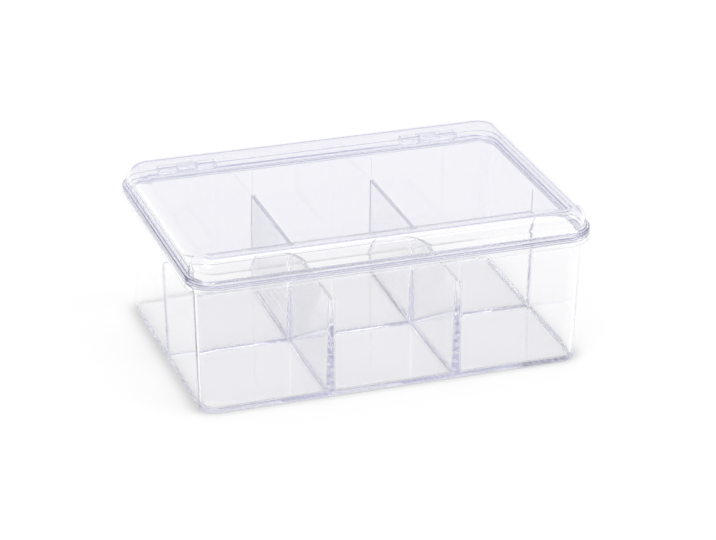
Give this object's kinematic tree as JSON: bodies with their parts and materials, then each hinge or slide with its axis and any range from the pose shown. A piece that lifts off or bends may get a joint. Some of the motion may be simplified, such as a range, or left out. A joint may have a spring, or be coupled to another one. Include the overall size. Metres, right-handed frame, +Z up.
{
  "type": "tea bag organizer box",
  "caption": "Clear rectangular storage box with a divided tray for tea sachets and a domed lid that swings up on rear hinges.",
  "frame": {"origin": "middle of the whole box seen from above, hinges included, at the level that it stands on", "axes": "+Z up, +Y to the hinges at the back, -Y to the front, +X to the right seen from the front"},
  "size_m": [0.217, 0.1542, 0.086],
  "materials": {
    "clear_tray": "clear, polished",
    "clear_lid": "clear, polished, faintly lavender in thick edges",
    "clear_pin": "clear"
  },
  "bodies": {
    "tray": {"tray": "clear_tray", "left_hinge_pin": "clear_pin", "right_hinge_pin": "clear_pin"},
    "lid": {"lid": "clear_lid"}
  },
  "joints": [
    {"name": "lid_hinge", "type": "hinge", "parent": "tray", "child": "lid", "pos_m": [0, 0.07327, 0.0729], "axis": [-1, 0, 0], "range_deg": [0, 105]}
  ]
}
